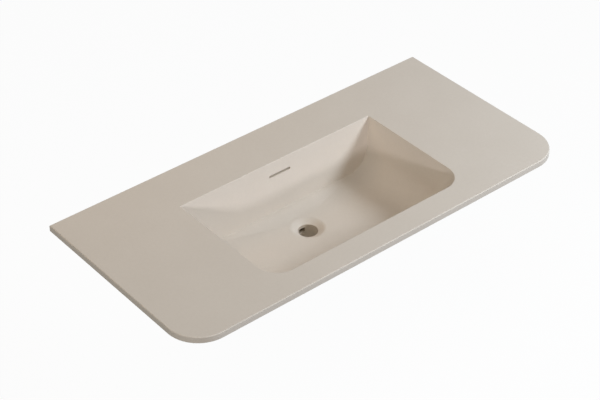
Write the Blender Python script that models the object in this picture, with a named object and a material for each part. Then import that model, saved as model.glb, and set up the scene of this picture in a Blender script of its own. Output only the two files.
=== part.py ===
"""Countertop washbasin of solid surface: a thin deck with a sunken bowl, made up from bonded pieces.

Metres, Z up. X runs along the wall, Y runs towards the wall and Z is up.
The origin is the middle of the deck's rear edge face, which stands against the wall.
Depths are measured down from the deck's top face.
"""

import math

import bmesh
import bpy
from mathutils import Vector

# Deck: the flat sheet that carries everything
deck_width = 1.000
deck_length = 0.480
deck_thickness = 0.015
deck_corner_radius = 0.075
edge_ease = 0.0015

# Bowl opening in the deck's top face, placed by shares of the deck's length
bowl_width = 0.516
bowl_setback_share = 0.246875
bowl_front_share = 0.121875
bowl_corner_radius = 0.050

# Bowl walls, which lean from the vertical, the front one most, and its floor
wall_lean = math.radians(10.5)
front_lean = math.radians(22)
floor_depth = 0.1155
floor_fall = 0.0065
floor_fall_power = 1.3
floor_fillet_radius = 0.060
bowl_wall = 0.010
corner_shoulder = 0.004

# Drain cup: the dish in the floor and the bored boss under it
drain_setback_share = 0.45625
dish_radius = 0.041
dish_drop = 0.0097
hole_radius = 0.0215
hole_ease = 0.0015
cup_flange_radius = 0.055
cup_flange_thickness = 0.004
boss_radius = 0.037
boss_tail = 0.0245

# Overflow: slot in the rear wall, cover behind it, duct under the floor, port in the boss
slot_width = 0.058
slot_height = 0.005
slot_depth = 0.0311
panel_thickness = 0.012
port_width = 0.016
port_height = 0.010
port_cover = 0.005
duct_wall = 0.002
duct_clearance = 0.0012
cover_wall = 0.003
cover_cavity = 0.018
cover_margin = 0.006

# Bonding strips that back the joint between deck and bowl
strip_width = 0.022
strip_height = 0.018
strip_end_gap = 0.004

# Battens under the wings, and the threaded inserts that take the bracket screws
batten_width = 0.060
batten_thickness = 0.015
batten_end_inset = 0.055
insert_radius = 0.0045
insert_bore_radius = 0.0025
insert_length = 0.012
insert_groove_depth = 0.0006
insert_groove_width = 0.0015
insert_end_inset = 0.052
insert_groove_shares = (0.30, 0.60)

# Clearances
bond_gap = 0.0003
overrun = 0.004

# How finely round shapes are cut
ease_steps = 3
corner_steps = 8
fillet_steps = 6
floor_steps = 4
side_steps = 6
edge_steps = 8
circle_steps = 48
dish_steps = 8
insert_steps = 24

# Places worked out from the sizes above
deck_top = deck_thickness / 2
joint_depth = deck_thickness + bond_gap
bowl_setback = deck_length * bowl_setback_share
front_rim_y = -deck_length * (1 - bowl_front_share)
drain_y = -deck_length * drain_setback_share
dish_depth = floor_depth + floor_fall
hole_depth = dish_depth + dish_drop
bowl_underside_depth = dish_depth + bowl_wall
flange_top = bowl_underside_depth + bond_gap
flange_bottom = flange_top + cup_flange_thickness
port_top = max(flange_bottom + duct_clearance + duct_wall, hole_depth + hole_ease + port_cover)
port_bottom = port_top + port_height
boss_depth = port_bottom + boss_tail
cavity_top = slot_depth - slot_height / 2 - cover_margin
cavity_bottom = port_bottom + cover_margin
panel_run = panel_thickness / math.cos(wall_lean)
slanted_gap = bond_gap / math.cos(wall_lean)
front_gap = bond_gap / math.cos(front_lean)


def height(depth):
    """The Z of a depth below the deck's top face."""
    return deck_top - depth


def wall_run(depth, offset=0.0, lean=wall_lean):
    """How far a leaning wall has come inwards from the rim at a depth, less an offset outwards."""
    return depth * math.tan(lean) - offset / math.cos(lean)


def rear_plane_y(depth):
    """The Y of the bowl's flat rear wall at a depth."""
    return -(bowl_setback + wall_run(depth))


def side_wall_x(depth, offset=0.0):
    """Half the bowl's width at a depth, on the inner face or offset outwards from it."""
    return bowl_width / 2 - wall_run(depth, offset)


def front_wall_y(depth, offset=0.0):
    """The Y of the bowl's front wall at a depth, on the inner face or offset outwards."""
    return front_rim_y + wall_run(depth, offset, front_lean)


def clear_scene():
    for scene_object in list(bpy.data.objects):
        bpy.data.objects.remove(scene_object, do_unlink=True)


def make_material(name, colour, roughness, metallic=0.0):
    material = bpy.data.materials.new(name)
    material.use_nodes = True
    shader = material.node_tree.nodes["Principled BSDF"]
    shader.inputs["Base Color"].default_value = (*colour, 1.0)
    shader.inputs["Roughness"].default_value = roughness
    shader.inputs["Metallic"].default_value = metallic
    material.diffuse_color = (*colour, 1.0)
    return material


def finish_mesh(bm, name, material):
    """Turns a bmesh into a named object with its faces pointing out and round parts smooth."""
    bmesh.ops.recalc_face_normals(bm, faces=bm.faces)
    mesh = bpy.data.meshes.new(name)
    bm.to_mesh(mesh)
    bm.free()
    piece = bpy.data.objects.new(name, mesh)
    bpy.context.scene.collection.objects.link(piece)
    if material is not None:
        mesh.materials.append(material)
    mesh.shade_smooth()
    mesh.set_sharp_from_angle(angle=math.radians(30))
    return piece


def loft(name, rings, material=None, closed=False):
    """A solid through rings of equal point count, capped at both ends, or closed end to end."""
    bm = bmesh.new()
    loops = [[bm.verts.new(point) for point in ring] for ring in rings]
    pairs = list(zip(loops, loops[1:]))
    if closed:
        pairs.append((loops[-1], loops[0]))
    else:
        bm.faces.new(loops[0])
        bm.faces.new(loops[-1])
    for lower, upper in pairs:
        count = len(lower)
        for i in range(count):
            following = (i + 1) % count
            bm.faces.new((lower[i], lower[following], upper[following], upper[i]))
    return finish_mesh(bm, name, material)


def prism(name, outline, direction, material=None):
    """A solid made by pushing a flat outline along a direction."""
    step = Vector(direction)
    far = [tuple(Vector(point) + step) for point in outline]
    return loft(name, [outline, far], material)


def cut(piece, *cutters):
    """Takes the cutters out of the piece, and hides them."""
    for cutter in cutters:
        cutter.hide_render = True
        cutter.display_type = "WIRE"
        boolean = piece.modifiers.new("Cut " + cutter.name, "BOOLEAN")
        boolean.operation = "DIFFERENCE"
        boolean.solver = "EXACT"
        boolean.object = cutter


def arc_points(centre_x, centre_y, radius, start_degrees, end_degrees, steps):
    points = []
    for i in range(steps + 1):
        angle = math.radians(start_degrees + (end_degrees - start_degrees) * i / steps)
        points.append((centre_x + radius * math.cos(angle), centre_y + radius * math.sin(angle)))
    return points


def disc(radius, z, centre):
    """A ring of points on a circle, level at one height."""
    turn = math.tau / circle_steps
    return [
        (centre[0] + radius * math.cos(turn * i), centre[1] + radius * math.sin(turn * i), z)
        for i in range(circle_steps)
    ]


def lathe(name, profile, centre, material=None, steps=circle_steps):
    """A turned ring: radius and Z pairs round a closed section, spun about a vertical axis."""
    rings = []
    for i in range(steps):
        angle = math.tau * i / steps
        rings.append([
            (centre[0] + radius * math.cos(angle), centre[1] + radius * math.sin(angle), z)
            for radius, z in profile
        ])
    return loft(name, rings, material, closed=True)


def deck_ring(inset, z):
    """The deck's outline, square at the wall and round at the front corners."""
    half = deck_width / 2
    radius = deck_corner_radius
    centre_y = -deck_length + radius
    left = arc_points(-half + radius, centre_y, radius - inset, 180, 270, corner_steps)
    right = arc_points(half - radius, centre_y, radius - inset, 270, 360, corner_steps)
    outline = [(-half + inset, 0.0), *left, *right, (half - inset, 0.0)]
    return [(x, y, z) for x, y in outline]


def opening_ring(depth, flare=0.0):
    """The bowl's outline at a depth, flared outwards where the rim is eased."""
    half = side_wall_x(depth) + flare
    front = front_wall_y(depth) - flare
    back = rear_plane_y(depth) + flare
    radius = bowl_corner_radius + flare
    left = arc_points(-half + radius, front + radius, radius, 180, 270, corner_steps)
    right = arc_points(half - radius, front + radius, radius, 270, 360, corner_steps)
    return [(x, y, height(depth)) for x, y in [(-half, back), *left, *right, (half, back)]]


def make_deck(material):
    slab_rings = [deck_ring(0.0, height(deck_thickness))]
    opening_rings = [opening_ring(deck_thickness + overrun)]
    for i in range(ease_steps + 1):
        turn = math.radians(90 * i / ease_steps)
        inward = edge_ease * (1 - math.cos(turn))
        below = edge_ease * (1 - math.sin(turn))
        slab_rings.append(deck_ring(inward, height(below)))
        opening_rings.append(opening_ring(below, inward))
    opening_rings.append([(x, y, z + overrun) for x, y, z in opening_rings[-1]])
    deck = loft("deck", slab_rings, material)
    cut(deck, loft("opening_cutter", opening_rings))


def fillet_run(turn, offset, base_depth, lean):
    """Run inwards of a wall with its floor fillet, at the level where the fillet's slope is a turn."""
    radius = floor_fillet_radius + offset
    wall_angle = math.pi / 2 - lean
    if turn > wall_angle:
        return wall_run(base_depth - radius * (1 - math.cos(turn)), offset, lean)
    centre_run = wall_run(base_depth, offset, lean) + radius * math.tan(wall_angle / 2)
    return centre_run - radius * math.sin(turn)


def wall_profile(offset, base_depth):
    """Runs inwards of side and front walls, and depths, from the deck joint to the level floor."""
    radius = floor_fillet_radius + offset
    points = [(
        wall_run(joint_depth, offset), wall_run(joint_depth, offset, front_lean), joint_depth
    )]
    for i in range(fillet_steps + 1):
        turn = (math.pi / 2 - wall_lean) * (1 - i / fillet_steps)
        points.append((
            fillet_run(turn, offset, base_depth, wall_lean),
            fillet_run(turn, offset, base_depth, front_lean),
            base_depth - radius * (1 - math.cos(turn)),
        ))
    return points


def blend(start, end, share):
    return start + (end - start) * share


def bowl_ring(side_run, front_run, depth, corner_radius, back_y):
    """A level of the bowl: straight sides and front, with round corners between them."""
    half = bowl_width / 2 - side_run
    front_y = front_rim_y + front_run
    corner_y = front_y + corner_radius
    left = [(-half, blend(back_y, corner_y, i / side_steps)) for i in range(side_steps)]
    left += arc_points(-half + corner_radius, corner_y, corner_radius, 180, 270, corner_steps)
    right = [(-x, y) for x, y in reversed(left)]
    end_x = left[-1][0]
    front = [(blend(end_x, -end_x, i / edge_steps), front_y) for i in range(1, edge_steps)]
    back = [(blend(half, -half, i / edge_steps), back_y) for i in range(1, edge_steps)]
    return [(x, y, height(depth)) for x, y in [*left, *front, *right, *back]]


def wall_rings(offset, base_depth):
    """The rings of one face of the bowl's walls, from the deck joint to the foot of the fillet."""
    return [
        bowl_ring(side_run, front_run, depth, bowl_corner_radius + offset, rear_plane_y(0.0) + overrun)
        for side_run, front_run, depth in wall_profile(offset, base_depth)
    ]


def floor_rings(offset, base_depth, drop):
    """The rings of one face of the floor sheet, from its outline to the round hole for the cup."""
    side_run, front_run, depth = wall_profile(offset, base_depth)[-1]
    outline = bowl_ring(
        side_run + bond_gap, front_run + bond_gap, depth,
        bowl_corner_radius + offset, rear_plane_y(0.0) + overrun,
    )
    crease_y = rear_plane_y(base_depth) - overrun
    level = [(x, min(y, crease_y), z) for x, y, z in outline]
    hole = []
    for x, y, z in level:
        away = Vector((x, y - drain_y)).normalized() * dish_radius
        hole.append((away.x, drain_y + away.y, z))
    rings = [outline]
    for i in range(1, floor_steps + 1):
        share = i / floor_steps
        fall = drop * share ** floor_fall_power
        rings.append([
            (blend(x, hole_x, share), blend(y, hole_y, share), z - fall)
            for (x, y, z), (hole_x, hole_y, _) in zip(level, hole)
        ])
    return rings


def rear_cutter(name):
    """What lies behind the front face of the rear panel."""
    top = -overrun
    bottom = bowl_underside_depth + overrun
    outline = [
        (-deck_width / 2, rear_plane_y(top) - slanted_gap, height(top)),
        (-deck_width / 2, rear_plane_y(bottom) - slanted_gap, height(bottom)),
        (-deck_width / 2, 0.0, height(bottom)),
        (-deck_width / 2, 0.0, height(top)),
    ]
    return prism(name, outline, (deck_width, 0.0, 0.0))


def block(name, low, high):
    """A plain box between two corners."""
    outline = [
        (low[0], low[1], low[2]), (high[0], low[1], low[2]), (high[0], high[1], low[2]), (low[0], high[1], low[2])
    ]
    return prism(name, outline, (0.0, 0.0, high[2] - low[2]))


def wall_joints():
    """X and Y of the joints between straight walls and corners, clear of the round at every depth."""
    side_run, front_run, depth = wall_profile(0.0, floor_depth)[-1]
    across = bowl_width / 2 - side_run - bowl_corner_radius - corner_shoulder
    along = front_rim_y + front_run + bowl_corner_radius + corner_shoulder
    return across, along


def make_bowl_wall(name, material, *cutters):
    """One bonded length of the bowl's walls: all of them, less what the cutters take away."""
    inner = wall_rings(0.0, floor_depth)
    outer = wall_rings(bowl_wall, bowl_underside_depth)
    wall = loft(name, list(reversed(outer)) + inner, material, closed=True)
    cut(wall, rear_cutter(f"{name}_rear_cutter"), *cutters)


def make_bowl_walls(material):
    across, along = wall_joints()
    half_gap = bond_gap / 2
    reach = deck_width / 2
    bottom = height(bowl_underside_depth + overrun)
    for side_name, side in (("left", -1), ("right", 1)):
        before_joint = block(
            f"{side_name}_wall_cutter", (-reach, -deck_length, bottom), (reach, along + half_gap, deck_top)
        )
        other_side = block(
            f"{side_name}_wall_other_side",
            (min(0.0, -side * reach), -deck_length, bottom), (max(0.0, -side * reach), 0.0, deck_top),
        )
        make_bowl_wall(f"{side_name}_wall", material, before_joint, other_side)
        past_joint = block(
            f"{side_name}_corner_cutter", (-reach, along - half_gap, bottom), (reach, 0.0, deck_top)
        )
        inner_x = side * (across + half_gap)
        middle = block(
            f"{side_name}_corner_middle",
            (min(inner_x, -side * reach), -deck_length, bottom),
            (max(inner_x, -side * reach), along, deck_top),
        )
        make_bowl_wall(f"{side_name}_corner", material, past_joint, middle)
    sides = [
        block(
            f"front_wall_{side_name}_cutter",
            (min(side * (across - half_gap), side * reach), -deck_length, bottom),
            (max(side * (across - half_gap), side * reach), along, deck_top),
        )
        for side_name, side in (("left", -1), ("right", 1))
    ]
    behind = block("front_wall_cutter", (-reach, along - half_gap, bottom), (reach, 0.0, deck_top))
    make_bowl_wall("front_wall", material, *sides, behind)


def make_bowl_floor(material):
    upper = floor_rings(0.0, floor_depth, dish_depth - floor_depth)
    lower = floor_rings(bowl_wall, bowl_underside_depth, 0.0)
    sheet = loft("bowl_floor", list(reversed(lower)) + upper, material, closed=True)
    hole = loft("floor_hole_cutter", [
        disc(dish_radius + bond_gap, height(bowl_underside_depth + overrun), (0.0, drain_y)),
        disc(dish_radius + bond_gap, height(floor_depth), (0.0, drain_y)),
    ])
    cut(sheet, rear_cutter("floor_rear_cutter"), hole)


def leaning_plate(name, outline, front_offset, back_offset, material=None):
    """A plate parallel to the rear wall, from half an outline of X and depth pairs, top to bottom."""
    halves = list(outline) + [(-x, depth) for x, depth in reversed(outline)]
    front, back = (
        [(x, rear_plane_y(depth) + offset, height(depth)) for x, depth in halves]
        for offset in (front_offset, back_offset)
    )
    return loft(name, [front, back], material)


def slot_cutter(front_y, back_y):
    """The overflow slot, round at both ends and cut straight along Y."""
    radius = slot_height / 2
    side = slot_width / 2 - radius
    right = arc_points(side, height(slot_depth), radius, -90, 90, corner_steps)
    left = arc_points(-side, height(slot_depth), radius, 90, 270, corner_steps)
    outline = [(x, front_y, z) for x, z in [*right, *left]]
    return prism("slot_cutter", outline, (0.0, back_y - front_y, 0.0))


def port_box(name, front_y, back_y, wall=0.0, material=None):
    """A box of the overflow port's section, or larger by a wall, along Y."""
    half = port_width / 2 + wall
    outline = [
        (-half, front_y, height(port_top - wall)),
        (half, front_y, height(port_top - wall)),
        (half, front_y, height(port_bottom + wall)),
        (-half, front_y, height(port_bottom + wall)),
    ]
    return prism(name, outline, (0.0, back_y - front_y, 0.0), material)


def cover_half_width(depth, wall=0.0):
    """Half the overflow cover's width at a depth: wide at the slot, narrow at the port."""
    share = (depth - cavity_top) / (cavity_bottom - cavity_top)
    wide = slot_width / 2 + cover_margin
    narrow = port_width / 2 + cover_margin
    return blend(wide, narrow, share) + wall


def make_rear_panel(material):
    outline = [
        (bowl_width / 2 - side_run, depth)
        for side_run, front_run, depth in wall_profile(bowl_wall, bowl_underside_depth)
    ]
    for depth in (bowl_underside_depth, cavity_bottom + cover_wall):
        outline.append((cover_half_width(depth, cover_wall), depth))
    panel = leaning_plate("rear_panel", outline, 0.0, panel_run, material)
    front_y = rear_plane_y(boss_depth)
    cut(panel, slot_cutter(front_y, 0.0), port_box("panel_port_cutter", front_y, 0.0))


def make_overflow_cover(material):
    top = cavity_top - cover_wall
    bottom = cavity_bottom + cover_wall
    shell = [(cover_half_width(top, cover_wall), top), (cover_half_width(bottom, cover_wall), bottom)]
    hollow = [(cover_half_width(depth), depth) for depth in (cavity_top, cavity_bottom)]
    front = panel_run + bond_gap
    back = front + cover_cavity
    cover = leaning_plate("overflow_cover", shell, front, back + cover_wall, material)
    cut(cover, leaning_plate("cover_cutter", hollow, front - overrun, back))


def make_overflow_duct(material):
    top = port_top - duct_wall - overrun
    bottom = port_bottom + duct_wall + overrun
    half = port_width / 2 + duct_wall + overrun
    duct = port_box("overflow_duct", drain_y, rear_plane_y(0.0), duct_wall, material)
    passage = port_box("duct_passage_cutter", drain_y - overrun, 0.0)
    boss = loft("duct_boss_cutter", [
        disc(boss_radius + bond_gap, height(depth), (0.0, drain_y)) for depth in (bottom, top)
    ])
    behind = leaning_plate(
        "duct_panel_cutter", [(half, top), (half, bottom)], -slanted_gap, bowl_setback
    )
    cut(duct, passage, boss, behind)


def make_drain_cup(material):
    rim_radius = hole_radius + hole_ease
    profile = []
    for i in range(dish_steps + 1):
        share = i / dish_steps
        fall = (1 - math.cos(math.pi * share)) / 2
        profile.append((blend(dish_radius, rim_radius, share), blend(dish_depth, hole_depth, fall)))
    for i in range(1, ease_steps + 1):
        turn = math.radians(90 * i / ease_steps)
        profile.append((
            rim_radius - hole_ease * math.sin(turn), hole_depth + hole_ease * (1 - math.cos(turn))
        ))
    profile += [
        (hole_radius, boss_depth),
        (boss_radius, boss_depth),
        (boss_radius, flange_bottom),
        (cup_flange_radius, flange_bottom),
        (cup_flange_radius, flange_top),
        (dish_radius, flange_top),
    ]
    section = [(radius, height(depth)) for radius, depth in profile]
    cup = lathe("drain_cup", section, (0.0, drain_y), material)
    cut(cup, port_box("cup_port_cutter", drain_y, drain_y + boss_radius + overrun))


def strip_section(wall_face, outwards):
    """A strip's section: one side on a leaning wall's face, the other side upright."""
    foot = joint_depth + strip_height
    outer = wall_face(joint_depth) + outwards * strip_width
    corners = [
        (wall_face(joint_depth), joint_depth),
        (outer, joint_depth),
        (outer, foot),
        (wall_face(foot), foot),
    ]
    return [(across, height(depth)) for across, depth in corners]


def side_strip_face(depth):
    return side_wall_x(depth, bowl_wall) + slanted_gap


def make_side_strip(name, side, material):
    """A strip that hugs the bowl's outer side wall and backs the joint under the deck."""
    front_y = front_rim_y + bowl_corner_radius
    section = strip_section(side_strip_face, 1)
    outline = [(side * x, front_y, z) for x, z in section]
    prism(name, outline, (0.0, rear_plane_y(0.0) - front_y, 0.0), material)


def make_front_strip(material):
    half = bowl_width / 2 - bowl_corner_radius
    section = strip_section(lambda depth: front_wall_y(depth, bowl_wall) - front_gap, -1)
    outline = [(-half, y, z) for y, z in section]
    prism("front_strip", outline, (2 * half, 0.0, 0.0), material)


def make_rear_strip(name, side, material):
    """A strip behind the rear panel, on one side of the overflow cover."""
    inner = cover_half_width(cavity_top - cover_wall, cover_wall) + strip_end_gap
    outer = side_wall_x(joint_depth + strip_height, bowl_wall)
    section = strip_section(lambda depth: rear_plane_y(depth) + panel_run + slanted_gap, 1)
    outline = [(side * inner, y, z) for y, z in section]
    prism(name, outline, (side * (outer - inner), 0.0, 0.0), material)


def batten_x(side):
    """A batten runs along the middle of the wing, between the side strip and the deck's end."""
    strip_edge = side_strip_face(joint_depth) + strip_width
    return side * (strip_edge + deck_width / 2) / 2


def insert_places(side):
    """Centres of the front and rear inserts in the batten on one side."""
    inset = batten_end_inset + insert_end_inset
    return [(batten_x(side), inset - deck_length), (batten_x(side), -inset)]


def make_batten(name, side, material):
    left = batten_x(side) - batten_width / 2
    front_y = batten_end_inset - deck_length
    length = deck_length - 2 * batten_end_inset
    foot = joint_depth + batten_thickness
    outline = [
        (left, front_y, height(joint_depth)),
        (left + batten_width, front_y, height(joint_depth)),
        (left + batten_width, front_y, height(foot)),
        (left, front_y, height(foot)),
    ]
    batten = prism(name, outline, (0.0, length, 0.0), material)
    pockets = []
    for place, centre in zip(("front", "rear"), insert_places(side)):
        pockets.append(loft(f"{name}_{place}_cutter", [
            disc(insert_radius + bond_gap, height(depth), centre)
            for depth in (foot + overrun, foot - insert_length - 2 * bond_gap)
        ]))
    cut(batten, *pockets)


def make_insert(name, centre, material):
    """A threaded sleeve, drawn with a plain bore and two grooves round its outside."""
    bottom = height(joint_depth + batten_thickness - bond_gap)
    top = bottom + insert_length
    waist = insert_radius - insert_groove_depth
    section = [(insert_bore_radius, bottom), (insert_radius, bottom)]
    for share in insert_groove_shares:
        low = bottom + insert_length * share
        section += [
            (insert_radius, low),
            (waist, low),
            (waist, low + insert_groove_width),
            (insert_radius, low + insert_groove_width),
        ]
    section += [(insert_radius, top), (insert_bore_radius, top)]
    lathe(name, section, centre, material, insert_steps)


def main():
    clear_scene()
    solid_surface = make_material("solid_surface", (0.58, 0.50, 0.43), 0.45)
    underside_sheet = make_material("underside_sheet", (0.50, 0.43, 0.37), 0.60)
    moulded_plastic = make_material("moulded_plastic", (0.72, 0.70, 0.66), 0.50)
    brass = make_material("brass", (0.78, 0.57, 0.26), 0.35, 1.0)

    make_deck(solid_surface)
    make_bowl_walls(solid_surface)
    make_bowl_floor(solid_surface)
    make_rear_panel(solid_surface)
    make_drain_cup(solid_surface)
    make_overflow_cover(moulded_plastic)
    make_overflow_duct(moulded_plastic)
    make_front_strip(underside_sheet)
    for side_name, side in (("left", -1), ("right", 1)):
        make_side_strip(f"{side_name}_strip", side, underside_sheet)
        make_rear_strip(f"rear_{side_name}_strip", side, underside_sheet)
        make_batten(f"{side_name}_batten", side, underside_sheet)
        for place_name, centre in zip(("front", "rear"), insert_places(side)):
            make_insert(f"{side_name}_{place_name}_insert", centre, brass)


main()
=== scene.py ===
"""Looks of the washbasin: a seamless shell of solid surface, and the bonded pieces under it."""

import math

import bmesh
import bpy
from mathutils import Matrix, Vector


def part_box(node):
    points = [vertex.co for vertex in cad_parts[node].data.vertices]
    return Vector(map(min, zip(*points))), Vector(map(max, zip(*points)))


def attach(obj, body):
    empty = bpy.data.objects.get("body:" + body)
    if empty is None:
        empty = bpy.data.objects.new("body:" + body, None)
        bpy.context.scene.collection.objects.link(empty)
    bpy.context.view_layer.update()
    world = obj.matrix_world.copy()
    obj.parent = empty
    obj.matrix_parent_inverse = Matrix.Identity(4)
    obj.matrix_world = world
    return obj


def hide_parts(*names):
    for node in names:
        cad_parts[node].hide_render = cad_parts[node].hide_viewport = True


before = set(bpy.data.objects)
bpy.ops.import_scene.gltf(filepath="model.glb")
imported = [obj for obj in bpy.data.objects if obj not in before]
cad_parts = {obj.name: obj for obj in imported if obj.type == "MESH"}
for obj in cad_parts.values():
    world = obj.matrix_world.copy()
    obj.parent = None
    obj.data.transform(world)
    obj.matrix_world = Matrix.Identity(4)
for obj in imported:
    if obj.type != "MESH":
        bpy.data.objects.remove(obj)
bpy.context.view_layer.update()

# The deck: its box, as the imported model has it, and its roundings
deck_low, deck_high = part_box("deck")
deck_top = deck_high.z
deck_thickness = deck_high.z - deck_low.z
deck_width = deck_high.x - deck_low.x
deck_length = deck_high.y - deck_low.y
deck_corner_radius = 0.075
deck_ease = 0.0022
deck_foot_ease = 0.0012

# The bowl, with depths measured down from the deck's top
bowl_width = 0.516
bowl_setback = 0.1185
front_rim_y = -0.4215
bowl_corner_radius = 0.050
wall_lean = math.radians(10.5)
front_lean = math.radians(22)
floor_depth = 0.1155
floor_fillet_radius = 0.060
rim_ease = 0.0014
crease_radius = 0.0010
crease_fade = 1.2
rear_corner_radius = 0.0002
floor_margin = 0.003
bowl_wall = 0.010
panel_thickness = 0.012
uncut_rear_y = -0.085

# The drain
drain_y = -0.219
dish_radius = 0.0435
dish_slope_radius = 0.0300
dish_slope = math.radians(31)
hole_radius = 0.0215
hole_depth = 0.1317
hole_ease = 0.0015
underside_depth = 0.132
flange_radius = 0.055
flange_thickness = 0.0043
boss_radius = 0.037
boss_depth = 0.174

# The overflow: its slot, its port into the bore, and the rear panel's tongue
slot_width = 0.058
slot_height = 0.005
slot_depth = 0.0311
slot_front_y = -0.16
slot_rear_y = -0.09
slot_end_share = 0.98
port_width = 0.016
port_top = 0.1395
port_bottom = 0.1495
port_rear_y = -0.10
tongue_top_half = 0.023
tongue_foot_half = 0.017
tongue_foot_depth = 0.1585
tongue_front_y = -0.18
tongue_rear_y = -0.10
tongue_lap = 0.004

# How finely the curves are drawn
corner_segments = 16
deck_corner_segments = 28
fillet_segments = 16
deck_ease_segments = 4
rim_ease_segments = 5
crease_segments = 6
slot_end_segments = 8
dish_steps = 18
hole_ease_steps = 5
floor_cuts_across = 47
floor_cuts_along = 27
ring_cuts = 10
flange_sides = 96
boss_sides = 72
smooth_angle = math.radians(32)

# Laps and tolerances
overlap = 0.003
long_edge = 0.1
rim_reach = 0.01
tiny = 0.00001
plane_tolerance = 0.00005

# The camera, and the studio round the basin
camera_place = (-1.8099, -2.3725, 2.0842 + deck_top)
camera_azimuth = -39.695
camera_elevation = 37.185
camera_lens = 100.226
camera_sensor = 36
lamp_aim = Vector((0, -0.25, 0))
ground_z = -0.87
ground_size = 12
ground_glow = 0.95


# Places

def height(depth):
    return deck_top - depth


def wall_run(depth, offset, lean=wall_lean):
    """How far a leaning wall has come inwards at a depth, less an offset outwards."""
    return depth * math.tan(lean) - offset / math.cos(lean)


def direction(azimuth, elevation):
    """Towards a lamp or the camera: the azimuth goes round from the front, to the right."""
    turn = math.radians(azimuth)
    rise = math.radians(elevation)
    return Vector((math.sin(turn) * math.cos(rise), -math.cos(turn) * math.cos(rise), math.sin(rise)))


def lies_at(part, z):
    """Whether the whole of an edge or a face is at a height."""
    return all(abs(v.co.z - z) < tiny for v in part.verts)


def span(edge, axis):
    return abs(edge.verts[0].co[axis] - edge.verts[1].co[axis])


def on_rear_plane(v):
    return abs(v.co.y + bowl_setback + (deck_top - v.co.z) * math.tan(wall_lean)) < plane_tolerance


# Editing

def name_new(name):
    """Names the primitive that was just added."""
    piece = bpy.context.object
    piece.name = name
    piece.data.name = name
    return piece


def choose(piece):
    bpy.ops.object.select_all(action="DESELECT")
    piece.select_set(True)
    bpy.context.view_layer.objects.active = piece


def open_edit(piece):
    choose(piece)
    bpy.ops.object.mode_set(mode="EDIT")


def close_edit():
    bpy.ops.object.mode_set(mode="OBJECT")


def pick(kind, rule):
    """Selects only the verts, edges or faces of the open mesh that a rule names."""
    bpy.ops.mesh.select_mode(type={"verts": "VERT", "edges": "EDGE", "faces": "FACE"}[kind])
    bpy.ops.mesh.select_all(action="DESELECT")
    mesh = bpy.context.edit_object.data
    bm = bmesh.from_edit_mesh(mesh)
    bm.normal_update()
    for part in getattr(bm, kind):
        if rule(part):
            part.select_set(True)
    bm.select_flush_mode()
    bmesh.update_edit_mesh(mesh)


def slide(rule, x=0.0, y=0.0):
    pick("verts", rule)
    bpy.ops.transform.translate(value=(x, y, 0))


def draw_down(distance):
    """Draws what is selected out, straight down."""
    bpy.ops.mesh.extrude_region_move(TRANSFORM_OT_translate={"value": (0, 0, -distance)})


def face_outwards():
    bpy.ops.mesh.select_all(action="SELECT")
    bpy.ops.mesh.normals_make_consistent(inside=False)


def ease(width, segments):
    """Rounds the selected edges."""
    bpy.ops.mesh.bevel(offset=width, segments=segments, affect="EDGES", profile=0.5)


def add_sheet(name, left, right, front, rear, z):
    """A flat rectangle, added as a plane, drawn out to its size and left open for editing."""
    bpy.ops.mesh.primitive_plane_add(size=1, location=(0, 0, 0))
    piece = name_new(name)
    open_edit(piece)
    bpy.ops.transform.resize(value=(right - left, rear - front, 1))
    bpy.ops.transform.translate(value=((left + right) / 2, (front + rear) / 2, z))
    return piece


def thicken(thickness):
    """Makes the open sheet a block."""
    pick("faces", lambda f: True)
    draw_down(thickness)
    face_outwards()


def round_front_corners(front, radius, segments):
    pick("verts", lambda v: v.co.y < front + tiny)
    bpy.ops.mesh.bevel(offset=radius, segments=segments, affect="VERTICES", profile=0.5)


def cut_at_rear_wall(offset, keep_front):
    """Cuts the open block at the rear wall's plane, or at a plane behind it, and keeps one side."""
    bpy.ops.mesh.select_all(action="SELECT")
    bpy.ops.mesh.bisect(
        plane_co=(0, -bowl_setback + offset / math.cos(wall_lean), deck_top),
        plane_no=(0, math.cos(wall_lean), -math.sin(wall_lean)),
        use_fill=True, clear_outer=keep_front, clear_inner=not keep_front,
    )


def apply_all(piece):
    choose(piece)
    for modifier in list(piece.modifiers):
        bpy.ops.object.modifier_apply(modifier=modifier.name)


def combine(piece, operation, *others):
    """Joins others to the piece or takes them out of it, and deletes them."""
    for other in others:
        boolean = piece.modifiers.new(other.name, "BOOLEAN")
        boolean.operation = operation
        boolean.solver = "EXACT"
        boolean.object = other
    apply_all(piece)
    for other in others:
        bpy.data.objects.remove(other, do_unlink=True)


# The shell's parts

def fillet_run(turn, offset, base_depth, lean):
    """How far a wall with its floor fillet has come inwards where the fillet's slope is a turn."""
    radius = floor_fillet_radius + offset
    wall_angle = math.pi / 2 - lean
    if turn > wall_angle:
        return wall_run(base_depth - radius * (1 - math.cos(turn)), offset, lean)
    centre_run = wall_run(base_depth, offset, lean) + radius * math.tan(wall_angle / 2)
    return centre_run - radius * math.sin(turn)


def bowl_levels(offset, base_depth, start_depth):
    """Runs of the side and front walls, and depths, from a start down to the level floor."""
    radius = floor_fillet_radius + offset
    steepest = math.pi / 2 - wall_lean
    turns = [steepest * (1 - i / fillet_segments) for i in range(fillet_segments + 1)]
    levels = [(wall_run(start_depth, offset), wall_run(start_depth, offset, front_lean), start_depth)]
    for turn in sorted(turns + [math.pi / 2 - front_lean], reverse=True):
        levels.append((
            fillet_run(turn, offset, base_depth, wall_lean),
            fillet_run(turn, offset, base_depth, front_lean),
            base_depth - radius * (1 - math.cos(turn)),
        ))
    return levels


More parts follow.
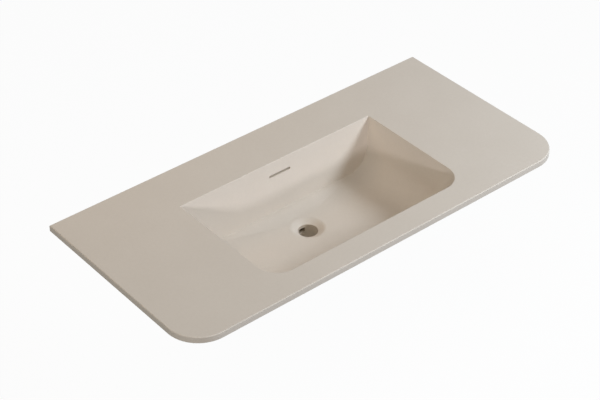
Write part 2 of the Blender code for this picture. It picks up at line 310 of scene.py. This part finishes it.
def bowl_block(name, levels):
    """A block of the bowl's outline, drawn in level by level on its sides and front."""
    side_run, front_run, depth = levels[0]
    half = bowl_width / 2 - side_run
    front = front_rim_y + front_run
    middle = (front_rim_y + uncut_rear_y) / 2
    block = add_sheet(name, -half, half, front, uncut_rear_y, height(depth))
    round_front_corners(front, bowl_corner_radius, corner_segments)
    for next_side, next_front, next_depth in levels[1:]:
        level = height(next_depth)
        pick("faces", lambda f: lies_at(f, height(depth)))
        draw_down(next_depth - depth)
        slide(lambda v: abs(v.co.z - level) < tiny and v.co.x < 0, x=next_side - side_run)
        slide(lambda v: abs(v.co.z - level) < tiny and v.co.x > 0, x=side_run - next_side)
        slide(lambda v: abs(v.co.z - level) < tiny and v.co.y < middle, y=next_front - front_run)
        side_run, front_run, depth = next_side, next_front, next_depth
    return block


def ease_crease(piece):
    """Rounds the crease between the rear wall and the floor, less so up the side walls."""
    bm = bmesh.from_edit_mesh(piece.data)
    layers = bm.edges.layers.float
    widths = layers.get("bevel_weight_edge") or layers.new("bevel_weight_edge")
    top = height(-overlap) - tiny
    for edge in bm.edges:
        if all(on_rear_plane(v) for v in edge.verts) and not all(v.co.z > top for v in edge.verts):
            middle = (edge.verts[0].co + edge.verts[1].co) / 2
            rise = max(0.0, (middle.z - height(floor_depth)) / floor_fillet_radius)
            share = max(0.0, 1 - rise * crease_fade)
            radius = rear_corner_radius + (crease_radius - rear_corner_radius) * share * share
            edge[widths] = radius / crease_radius
    bmesh.update_edit_mesh(piece.data)
    close_edit()
    bevel = piece.modifiers.new("Crease", "BEVEL")
    bevel.limit_method = "WEIGHT"
    bevel.width = crease_radius * math.tan((math.pi / 2 - wall_lean) / 2)
    bevel.segments = crease_segments
    bevel.use_clamp_overlap = False
    apply_all(piece)
    open_edit(piece)


def open_floor(void):
    """Takes a rectangle out of the bowl's floor and divides its edges. Gives their number."""
    pick("faces", lambda f: lies_at(f, height(floor_depth)))
    bpy.ops.mesh.inset(thickness=floor_margin, use_even_offset=True)
    bpy.ops.mesh.delete(type="FACE")
    for axis, cuts in enumerate((floor_cuts_across, floor_cuts_along)):
        pick("edges", lambda e: e.is_boundary and span(e, axis) > long_edge)
        bpy.ops.mesh.subdivide(number_cuts=cuts)
    return sum(1 for e in bmesh.from_edit_mesh(void.data).edges if e.is_boundary)


def dish_profile():
    """Radius and depth from the dish's soft outer edge down to the bottom of the bore."""
    rim_radius = hole_radius + hole_ease
    step = (dish_radius - rim_radius) / dish_steps
    falls = []
    for i in range(dish_steps):
        radius = dish_radius - (i + 0.5) * step
        share = min(1.0, (dish_radius - radius) / (dish_radius - dish_slope_radius))
        falls.append(step * math.tan(dish_slope * share * share * (3 - 2 * share)))
    depth = hole_depth - sum(falls)
    radius = dish_radius
    points = [(radius, depth)]
    for fall in falls:
        radius -= step
        depth += fall
        points.append((radius, depth))
    for i in range(1, hole_ease_steps + 1):
        turn = (math.pi / 2 - dish_slope) * i / hole_ease_steps + dish_slope
        points.append((
            rim_radius - hole_ease * (math.sin(turn) - math.sin(dish_slope)) / (1 - math.sin(dish_slope)),
            hole_depth + hole_ease * (math.cos(dish_slope) - math.cos(turn)),
        ))
    points.append((hole_radius, boss_depth + overlap))
    return points


def add_drain(sides):
    """The floor's fall to the dish, and then the dish and the bore, ring by ring."""
    (radius, depth), *rings = dish_profile()
    bpy.ops.mesh.select_all(action="DESELECT")
    bpy.ops.mesh.primitive_circle_add(
        vertices=sides, radius=radius, fill_type="NOTHING", location=(0, drain_y, height(depth))
    )
    pick("edges", lambda e: e.is_boundary or not e.link_faces)
    bpy.ops.mesh.bridge_edge_loops(number_cuts=ring_cuts, interpolation="LINEAR")
    for next_radius, next_depth in rings:
        pick("edges", lambda e: e.is_boundary)
        draw_down(next_depth - depth)
        factor = next_radius / radius
        bpy.ops.transform.resize(value=(factor, factor, 1), center_override=(0, drain_y, height(next_depth)))
        radius, depth = next_radius, next_depth
    bpy.ops.mesh.edge_face_add()


def make_void():
    """The hollow of the bowl, the dish and the bore, as one block to take out of the shell."""
    void = bowl_block("bowl_void", bowl_levels(0.0, floor_depth, -overlap))
    face_outwards()
    cut_at_rear_wall(0.0, keep_front=True)
    ease_crease(void)
    add_drain(open_floor(void))
    face_outwards()
    close_edit()
    return void


def make_slab():
    """The deck's slab with its front corners rounded and its edges eased."""
    slab = add_sheet("basin_shell", -deck_width / 2, deck_width / 2, -deck_length, 0.0, deck_top)
    round_front_corners(-deck_length, deck_corner_radius, deck_corner_segments)
    thicken(deck_thickness)
    for z, width in ((deck_top, deck_ease), (deck_low.z, deck_foot_ease)):
        pick("edges", lambda e: lies_at(e, z))
        ease(width, deck_ease_segments)
    close_edit()
    return slab


def make_tray_block():
    """The outside of the bowl, from inside the deck down to its flat underside."""
    levels = bowl_levels(bowl_wall, underside_depth, deck_thickness - overlap)
    block = bowl_block("tray_block", levels)
    face_outwards()
    cut_at_rear_wall(panel_thickness, keep_front=True)
    close_edit()
    return block


def make_round_block(name, radius, bottom_depth, sides):
    """An upright cylinder round the drain, from just inside the tray's underside."""
    top_depth = underside_depth - overlap
    bpy.ops.mesh.primitive_cylinder_add(
        vertices=sides, radius=radius, depth=bottom_depth - top_depth,
        location=(0, drain_y, height((top_depth + bottom_depth) / 2)),
    )
    block = name_new(name)
    bpy.ops.object.transform_apply(location=True, rotation=True, scale=True)
    return block


def make_tongue():
    """The rear panel's tongue, which reaches below the floor to the overflow's foot."""
    half = tongue_top_half
    top = underside_depth - tongue_lap
    tongue = add_sheet("tongue", -half, half, tongue_front_y, tongue_rear_y, height(top))
    pick("faces", lambda f: True)
    draw_down(tongue_foot_depth - top)
    factor = tongue_foot_half / half
    bpy.ops.transform.resize(value=(factor, 1, 1), center_override=(0, 0, 0))
    face_outwards()
    cut_at_rear_wall(panel_thickness, keep_front=True)
    cut_at_rear_wall(0.0, keep_front=False)
    close_edit()
    return tongue


def make_slot_cutter():
    """The overflow slot with round ends, pushed straight from front to rear."""
    half = slot_height / 2
    top = height(slot_depth - half)
    cutter = add_sheet("slot_cutter", -slot_width / 2, slot_width / 2, slot_front_y, slot_rear_y, top)
    thicken(slot_height)
    pick("edges", lambda e: span(e, 1) > slot_height)
    ease(half * slot_end_share, slot_end_segments)
    close_edit()
    return cutter


def make_port_cutter():
    """The overflow's port, from the middle of the bore to behind the tongue."""
    cutter = add_sheet("port_cutter", -port_width / 2, port_width / 2, drain_y, port_rear_y, height(port_top))
    thicken(port_bottom - port_top)
    close_edit()
    return cutter


def ease_rim():
    """Rounds the bowl's rim all the way round."""
    half = bowl_width / 2 + rim_reach
    front = front_rim_y - rim_reach
    rear = -bowl_setback + rim_reach
    pick("edges", lambda e: (
        lies_at(e, deck_top)
        and all(abs(v.co.x) < half and front < v.co.y < rear for v in e.verts)
        and any(abs(f.normal.z) < 0.5 for f in e.link_faces)
    ))
    ease(rim_ease, rim_ease_segments)


def make_shell():
    """Joins slab, tray, tongue and drain cup, hollows them out and eases the rim."""
    shell = make_slab()
    combine(
        shell, "UNION", make_tray_block(), make_tongue(),
        make_round_block("flange", flange_radius, underside_depth + flange_thickness, flange_sides),
        make_round_block("boss", boss_radius, boss_depth, boss_sides),
    )
    combine(shell, "DIFFERENCE", make_void(), make_slot_cutter(), make_port_cutter())
    open_edit(shell)
    bpy.ops.mesh.select_all(action="SELECT")
    bpy.ops.mesh.remove_doubles(threshold=tiny)
    ease_rim()
    close_edit()
    bpy.ops.object.shade_smooth_by_angle(angle=smooth_angle)
    weighted = shell.modifiers.new("Weighted", "WEIGHTED_NORMAL")
    weighted.keep_sharp = True
    apply_all(shell)
    return shell


# Shader nodes

def feed(tree, socket, value):
    """Links another node's output to a socket, or gives the socket a value."""
    if isinstance(value, bpy.types.NodeSocket):
        tree.links.new(value, socket)
    else:
        socket.default_value = value


def add_node(tree, kind, inputs=None, **settings):
    """A node with its settings, its values and its links."""
    node = tree.nodes.new("ShaderNode" + kind)
    for title, value in settings.items():
        setattr(node, title, value)
    for title, value in (inputs or {}).items():
        feed(tree, node.inputs[title], value)
    return node


def add_group(tree, group, **inputs):
    node = tree.nodes.new("ShaderNodeGroup")
    node.node_tree = group
    for title, value in inputs.items():
        feed(tree, node.inputs[title], value)
    return node.outputs


def calculate(tree, operation, first, second):
    """A sum, product or comparison of two values."""
    return add_node(tree, "Math", {0: first, 1: second}, operation=operation).outputs[0]


def mix_colour(tree, share, first, second):
    """Two colours mixed by a share that varies over the surface."""
    return add_node(tree, "Mix", {0: share, 6: first, 7: second}, data_type="RGBA").outputs[2]


def new_group(name, inputs, outputs):
    """An empty shader group, with a name, a kind and a value for each input."""
    group = bpy.data.node_groups.new(name, "ShaderNodeTree")
    for title, kind, value in inputs:
        socket = group.interface.new_socket(name=title, in_out="INPUT", socket_type="NodeSocket" + kind)
        if value is not None:
            socket.default_value = value
    for title, kind in outputs:
        group.interface.new_socket(name=title, in_out="OUTPUT", socket_type="NodeSocket" + kind)
    return group, group.nodes.new("NodeGroupInput").outputs, group.nodes.new("NodeGroupOutput").inputs


def cloud_group():
    """Soft cloudy patches, as in a cast sheet."""
    group, entry, leave = new_group(
        "cloudy_patches",
        (("Place", "Vector", None), ("Scale", "Float", 20.0),
         ("Low", "Float", 0.35), ("High", "Float", 0.65)),
        (("Mask", "Float"),),
    )
    noise = add_node(group, "TexNoise", {
        "Vector": entry["Place"], "Scale": entry["Scale"], "Detail": 4.0, "Roughness": 0.55,
    })
    ranged = add_node(group, "MapRange", {
        "Value": noise.outputs["Fac"], "From Min": entry["Low"], "From Max": entry["High"],
    }, interpolation_type="SMOOTHSTEP")
    group.links.new(ranged.outputs["Result"], leave["Mask"])
    return group


def fleck_group():
    """Small mineral flecks: cells of which only a share are flecks, each round and soft."""
    group, entry, leave = new_group(
        "mineral_flecks",
        (("Place", "Vector", None), ("Scale", "Float", 600.0), ("Share", "Float", 0.2)),
        (("Mask", "Float"),),
    )
    cells = add_node(group, "TexVoronoi", {"Vector": entry["Place"], "Scale": entry["Scale"]})
    drawn = add_node(group, "SeparateColor", {"Color": cells.outputs["Color"]})
    chosen = calculate(group, "LESS_THAN", drawn.outputs["Red"], entry["Share"])
    round_spot = add_node(group, "MapRange", {
        "Value": cells.outputs["Distance"], "From Min": 0.42, "From Max": 0.18,
    }, interpolation_type="SMOOTHSTEP")
    mask = calculate(group, "MULTIPLY", chosen, round_spot.outputs["Result"])
    group.links.new(mask, leave["Mask"])
    return group


def sanding_group():
    """The fine unevenness that a sander leaves: a soft ripple, and short scratches two ways."""
    group, entry, leave = new_group(
        "sanding",
        (("Place", "Vector", None), ("Ripple Scale", "Float", 25.0), ("Grit Scale", "Float", 1500.0),
         ("Ripple", "Float", 1.0), ("Grit", "Float", 0.15)),
        (("Height", "Float"),),
    )
    ripple = add_node(group, "TexNoise", {
        "Vector": entry["Place"], "Scale": entry["Ripple Scale"], "Detail": 1.0, "Roughness": 0.4,
    })
    total = calculate(group, "MULTIPLY", ripple.outputs["Fac"], entry["Ripple"])
    for angle in (0.6, -0.9):
        turned = add_node(group, "Mapping", {
            "Vector": entry["Place"], "Rotation": (0.0, 0.0, angle), "Scale": (1.0, 0.12, 1.0),
        })
        grit = add_node(group, "TexNoise", {
            "Vector": turned.outputs["Vector"], "Scale": entry["Grit Scale"], "Detail": 2.0,
        })
        weighed = calculate(group, "MULTIPLY", grit.outputs["Fac"], entry["Grit"])
        total = calculate(group, "ADD", total, weighed)
    group.links.new(total, leave["Height"])
    return group


# Materials

def new_material(name, roughness=None, metallic=0.0):
    """A material with its shader, its tree and the place on the piece."""
    material = bpy.data.materials.new(name)
    material.use_nodes = True
    shader = material.node_tree.nodes["Principled BSDF"]
    shader.inputs["Metallic"].default_value = metallic
    if roughness is not None:
        shader.inputs["Roughness"].default_value = roughness
    place = add_node(material.node_tree, "TexCoord").outputs["Object"]
    return material, material.node_tree, shader, place


def add_bump(tree, shader, height_socket, distance):
    bump = add_node(tree, "Bump", {"Height": height_socket, "Distance": distance, "Strength": 1.0})
    tree.links.new(bump.outputs["Normal"], shader.inputs["Normal"])


def vary_roughness(tree, shader, mask, low, high):
    ranged = add_node(tree, "MapRange", {"Value": mask, "To Min": low, "To Max": high})
    tree.links.new(ranged.outputs["Result"], shader.inputs["Roughness"])


def stone_material(name, pale, deep, fleck, roughness, grit_distance):
    """Cast solid surface: cloudy tones, pale and dark mineral flecks, and a sanded skin."""
    material, tree, shader, place = new_material(name)
    shader.inputs["Specular IOR Level"].default_value = 0.2
    broad = add_group(tree, clouds, Place=place, Scale=9.0, Low=0.30, High=0.70)
    close = add_group(tree, clouds, Place=place, Scale=140.0, Low=0.25, High=0.75)
    broad_part = calculate(tree, "MULTIPLY", broad["Mask"], 0.55)
    tone = add_node(tree, "Math", {
        0: close["Mask"], 1: 0.45, 2: broad_part,
    }, operation="MULTIPLY_ADD", use_clamp=True)
    colour = mix_colour(tree, tone.outputs[0], pale, deep)
    for scale, share, strength, tint in ((900.0, 0.16, 0.35, fleck[0]), (1300.0, 0.20, 0.30, fleck[1])):
        spots = add_group(tree, flecks, Place=place, Scale=scale, Share=share)
        colour = mix_colour(tree, calculate(tree, "MULTIPLY", spots["Mask"], strength), colour, tint)
    tree.links.new(colour, shader.inputs["Base Color"])
    vary_roughness(tree, shader, close["Mask"], *roughness)
    skin = add_group(tree, sanding, Place=place)
    add_bump(tree, shader, skin["Height"], grit_distance)
    return material


def sawn_sheet(name, turn):
    """The same cast sheet with sawn faces: the marks of the saw run along the piece."""
    material, tree, shader, place = new_material(name)
    patches = add_group(tree, clouds, Place=place, Scale=60.0, Low=0.30, High=0.70)
    colour = mix_colour(tree, patches["Mask"], (0.515, 0.445, 0.385, 1), (0.485, 0.415, 0.355, 1))
    along = add_node(tree, "Mapping", {"Vector": place, "Rotation": (0, 0, turn), "Scale": (0.04, 1.0, 1.0)})
    marks = add_node(tree, "TexNoise", {
        "Vector": along.outputs["Vector"], "Scale": 700.0, "Detail": 3.0, "Roughness": 0.6,
    })
    pale = add_node(tree, "MapRange", {
        "Value": marks.outputs["Fac"], "From Min": 0.52, "From Max": 0.72, "To Max": 0.45,
    })
    colour = mix_colour(tree, pale.outputs["Result"], colour, (0.60, 0.54, 0.48, 1))
    tree.links.new(colour, shader.inputs["Base Color"])
    vary_roughness(tree, shader, marks.outputs["Fac"], 0.50, 0.78)
    add_bump(tree, shader, marks.outputs["Fac"], 0.00025)
    return material


def moulded_plastic(name):
    """Moulded plastic with a fine spark grain, and slightly cloudy gloss."""
    material, tree, shader, place = new_material(name)
    patches = add_group(tree, clouds, Place=place, Scale=45.0, Low=0.30, High=0.70)
    colour = mix_colour(tree, patches["Mask"], (0.735, 0.715, 0.675, 1), (0.705, 0.685, 0.645, 1))
    tree.links.new(colour, shader.inputs["Base Color"])
    grain = add_node(tree, "TexNoise", {"Vector": place, "Scale": 1600.0, "Detail": 2.0, "Roughness": 0.5})
    vary_roughness(tree, shader, patches["Mask"], 0.34, 0.46)
    add_bump(tree, shader, grain.outputs["Fac"], 0.00008)
    return material


def turned_brass(name, centre):
    """Turned brass: fine rings round the insert's own axis, and a dull bloom."""
    material, tree, shader, place = new_material(name, metallic=1.0)
    bloom = add_group(tree, clouds, Place=place, Scale=420.0, Low=0.35, High=0.70)
    colour = mix_colour(tree, bloom["Mask"], (0.80, 0.59, 0.28, 1), (0.66, 0.45, 0.20, 1))
    tree.links.new(colour, shader.inputs["Base Color"])
    centred = add_node(tree, "Mapping", {"Vector": place, "Location": (-centre.x, -centre.y, -centre.z)})
    rings = add_node(tree, "TexWave", {
        "Vector": centred.outputs["Vector"], "Scale": 900.0, "Distortion": 1.2, "Detail": 1.0,
    }, wave_type="RINGS", rings_direction="Z")
    turns = add_node(tree, "TexWave", {
        "Vector": centred.outputs["Vector"], "Scale": 450.0, "Distortion": 0.8, "Detail": 1.0,
    }, wave_type="BANDS", bands_direction="Z")
    vary_roughness(tree, shader, bloom["Mask"], 0.26, 0.48)
    add_bump(tree, shader, calculate(tree, "ADD", rings.outputs["Fac"], turns.outputs["Fac"]), 0.00003)
    return material


def in_cut(face, width, top_depth, bottom_depth):
    """Whether a face lines a cut that runs from front to rear between two depths."""
    place = face.center
    return (
        abs(place.x) < width / 2 + tiny
        and height(bottom_depth) - tiny < place.z < height(top_depth) + tiny
        and abs(face.normal.y) < 0.5
    )


def finish_or_painted_shade_of(face):
    """0 for the sanded outside, 1 for the waste bore and the overflow's slot, and 2 for its port. 1 and 2 are
    darker materials: painted shade in these hollows.
    """
    if in_cut(face, port_width, port_top, port_bottom):
        return 2
    from_drain = math.hypot(face.center.x, face.center.y - drain_y)
    in_bore = from_drain < hole_radius + hole_ease / 3 and face.center.z < height(hole_depth + hole_ease / 3)
    in_slot = in_cut(face, slot_width, slot_depth - slot_height / 2, slot_depth + slot_height / 2)
    return 1 if in_bore or in_slot else 0


def dress(material, *names):
    """Gives carried-over nodes their finish."""
    for name in names:
        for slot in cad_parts[name].material_slots:
            slot.material = material


# Studio

def lamp(name, azimuth, elevation, distance, size, power, colour):
    """A round soft box that looks at the middle of the deck."""
    data = bpy.data.lights.new(name, "AREA")
    data.shape = "DISK"
    data.size = size
    data.energy = power
    data.color = colour
    piece = bpy.data.objects.new(name, data)
    bpy.context.scene.collection.objects.link(piece)
    towards = direction(azimuth, elevation)
    piece.location = lamp_aim + towards * distance
    piece.rotation_euler = towards.to_track_quat("Z", "Y").to_euler()


def make_camera():
    data = bpy.data.cameras.new("camera")
    data.lens = camera_lens
    data.sensor_width = camera_sensor
    camera = bpy.data.objects.new("camera", data)
    bpy.context.scene.collection.objects.link(camera)
    camera.location = camera_place
    camera.rotation_euler = direction(camera_azimuth, camera_elevation).to_track_quat("Z", "Y").to_euler()
    bpy.context.scene.camera = camera


def seen_ray(tree):
    """1 where the camera, a mirror-like gloss or a clear piece looks, and 0 for other light."""
    path = add_node(tree, "LightPath").outputs
    either = calculate(tree, "MAXIMUM", path["Is Camera Ray"], path["Is Glossy Ray"])
    return calculate(tree, "MAXIMUM", either, path["Is Transmission Ray"])


def make_floor():
    """A pale floor that looks white, and still takes the basin's shadow."""
    bpy.ops.mesh.primitive_plane_add(size=ground_size, location=(0, 0, ground_z))
    floor = bpy.context.object
    floor.name = "floor"
    material, tree, shader, place = new_material("pale_floor", roughness=0.85)
    shader.inputs["Specular IOR Level"].default_value = 0.0
    seen = seen_ray(tree)
    patches = add_group(tree, clouds, Place=place, Scale=1.5)
    pale = mix_colour(tree, patches["Mask"], (0.88, 0.88, 0.88, 1), (0.92, 0.92, 0.92, 1))
    tree.links.new(mix_colour(tree, seen, (0.16, 0.16, 0.157, 1), pale), shader.inputs["Base Color"])
    glow = add_node(tree, "Emission", {"Color": (1, 1, 1, 1), "Strength": 1.0})
    share = calculate(tree, "MULTIPLY", seen, ground_glow)
    mixed = add_node(tree, "MixShader", {0: share, 1: shader.outputs[0], 2: glow.outputs[0]})
    tree.links.new(mixed.outputs[0], tree.nodes["Material Output"].inputs["Surface"])
    floor.data.materials.append(material)


def make_world(fill):
    """Even light from all round, seen as white."""
    world = bpy.data.worlds.new("studio")
    bpy.context.scene.world = world
    world.use_nodes = True
    tree = world.node_tree
    strength = add_node(tree, "MapRange", {"Value": seen_ray(tree), "To Min": fill, "To Max": 1.0})
    background = tree.nodes["Background"]
    background.inputs["Color"].default_value = (1, 1, 1, 1)
    tree.links.new(strength.outputs["Result"], background.inputs["Strength"])


# The seamless shell, in place of the nine solid-surface pieces

shell = make_shell()
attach(shell, "root")
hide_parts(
    "deck", "left_wall", "right_wall", "front_wall", "left_corner", "right_corner",
    "bowl_floor", "rear_panel", "drain_cup",
)

clouds = cloud_group()
flecks = fleck_group()
sanding = sanding_group()
for finish in (
    stone_material(
        "solid_surface", pale=(0.690, 0.612, 0.540, 1), deep=(0.666, 0.588, 0.516, 1),
        fleck=((0.77, 0.70, 0.63, 1), (0.56, 0.49, 0.42, 1)), roughness=(0.50, 0.58), grit_distance=0.00003,
    ),
    stone_material(
        # The bore's and the slot's material: rougher, as a bored face is, and darker, which is painted shade
        # in these hollows.
        "bored_surface_painted_shade", pale=(0.56, 0.475, 0.39, 1), deep=(0.53, 0.445, 0.36, 1),
        fleck=((0.64, 0.56, 0.48, 1), (0.44, 0.37, 0.31, 1)), roughness=(0.62, 0.75), grit_distance=0.00008,
    ),
    stone_material(
        # The port's material: much darker than the sheet, which is painted shade inside the overflow.
        "overflow_port_painted_shade", pale=(0.32, 0.255, 0.19, 1), deep=(0.28, 0.22, 0.16, 1),
        fleck=((0.39, 0.33, 0.26, 1), (0.25, 0.195, 0.14, 1)), roughness=(0.70, 0.80), grit_distance=0.00008,
    ),
):
    shell.data.materials.append(finish)
# Each face's material: the bore, the slot and the port take the darker ones, which are painted shade in these
# hollows.
for face in shell.data.polygons:
    face.material_index = finish_or_painted_shade_of(face)

# The bonded pieces under it

dress(sawn_sheet("sawn_sheet_across", 0.0), "front_strip", "rear_left_strip", "rear_right_strip")
dress(
    sawn_sheet("sawn_sheet_front_to_back", math.radians(90)),
    "left_strip", "right_strip", "left_batten", "right_batten",
)
dress(moulded_plastic("overflow_plastic"), "overflow_cover", "overflow_duct")
for side in ("left", "right"):
    for end in ("front", "rear"):
        insert = f"{side}_{end}_insert"
        insert_low, insert_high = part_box(insert)
        dress(turned_brass(f"{insert}_brass", (insert_low + insert_high) / 2), insert)

# The studio. A lamp has its azimuth and elevation in degrees, its distance and size in metres,
# its power in watts and its colour.

make_floor()
make_camera()
lamp("key", 51, 32, 3.0, 0.8, 67.2, (0.80, 0.903, 1.0))
lamp("front_left_fill", 315, 50, 12.0, 5.2, 396, (1.0, 0.986, 0.88))
lamp("left_fill", 270, 8, 6.0, 1.0, 28, (1.0, 0.99, 0.84))
lamp("rear_left_fill", 205, 50, 1.5, 0.6, 3.2, (1.0, 0.78, 0.56))
lamp("low_fill", 332, 12.5, 12.0, 1.0, 326, (0.93, 0.945, 1.0))
make_world(fill=0.08)
bpy.context.scene.view_settings.view_transform = "Standard"
